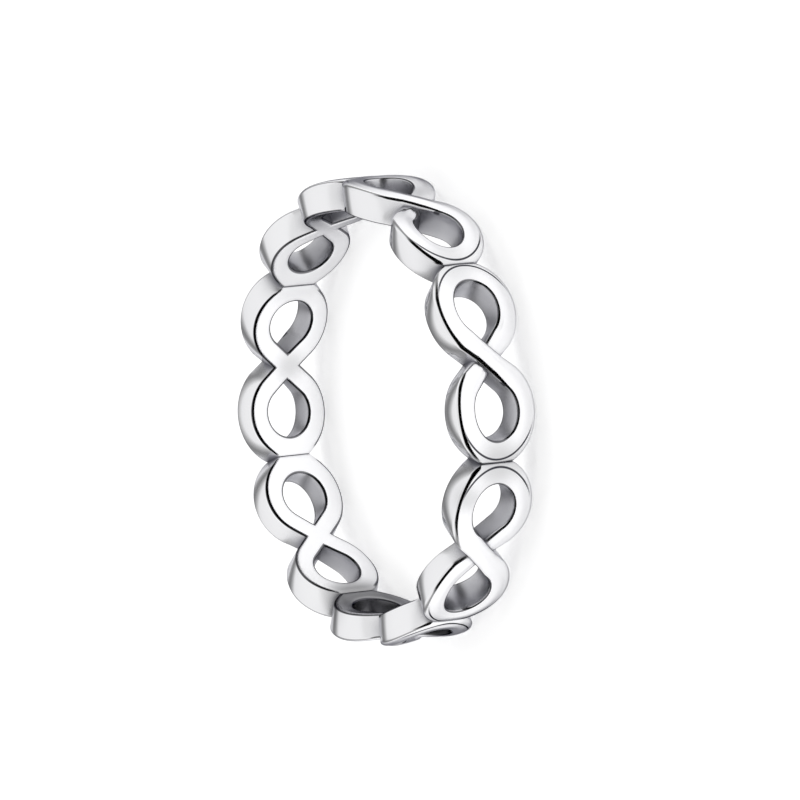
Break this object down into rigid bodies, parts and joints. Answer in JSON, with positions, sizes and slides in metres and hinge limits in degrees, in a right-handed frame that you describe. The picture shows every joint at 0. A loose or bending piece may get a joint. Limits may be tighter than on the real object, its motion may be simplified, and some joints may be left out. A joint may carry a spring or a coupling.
{
  "type": "infinity ring",
  "caption": "Openwork finger ring of infinity figures, each a crossed silver ribbon in relief, joined end to end into one band.",
  "frame": {"origin": "on the finger's axis, at the level of the surface that the ring lies on", "axes": "+Z along the finger's axis, +X through the middle of one infinity figure"},
  "size_m": [0.02, 0.02, 0.0038],
  "materials": {
    "polished_silver": "mirror-polished sterling silver"
  },
  "bodies": {
    "root": {"infinity_band": "polished_silver"}
  },
  "joints": []
}
